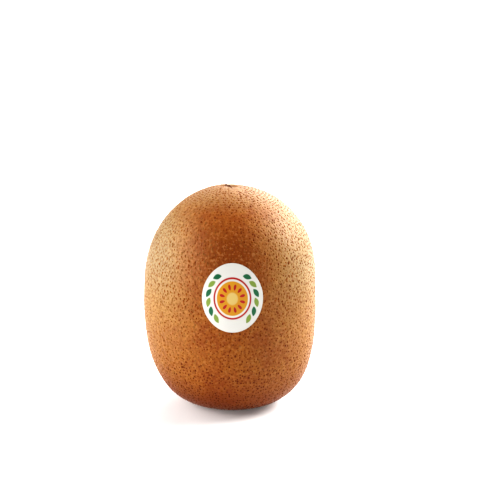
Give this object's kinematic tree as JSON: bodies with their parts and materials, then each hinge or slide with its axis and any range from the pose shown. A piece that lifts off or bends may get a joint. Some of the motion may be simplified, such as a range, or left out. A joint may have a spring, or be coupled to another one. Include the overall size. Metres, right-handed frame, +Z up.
{
  "type": "golden kiwi fruit",
  "caption": "Whole gold-fleshed kiwifruit standing on its stem end, with a speckled tan skin and a small plain oval label stuck on its front.",
  "frame": {"origin": "on the ground that the fruit stands on, under the middle of its bounding box", "axes": "+Z up along the fruit's core, from the stem end to the tip; -Y towards the side with the label; +X to the right seen from there"},
  "size_m": [0.054, 0.0524, 0.0704],
  "materials": {
    "skin": "satin",
    "label": "satin"
  },
  "bodies": {
    "root": {"fruit": "skin", "label": "label"}
  },
  "joints": []
}
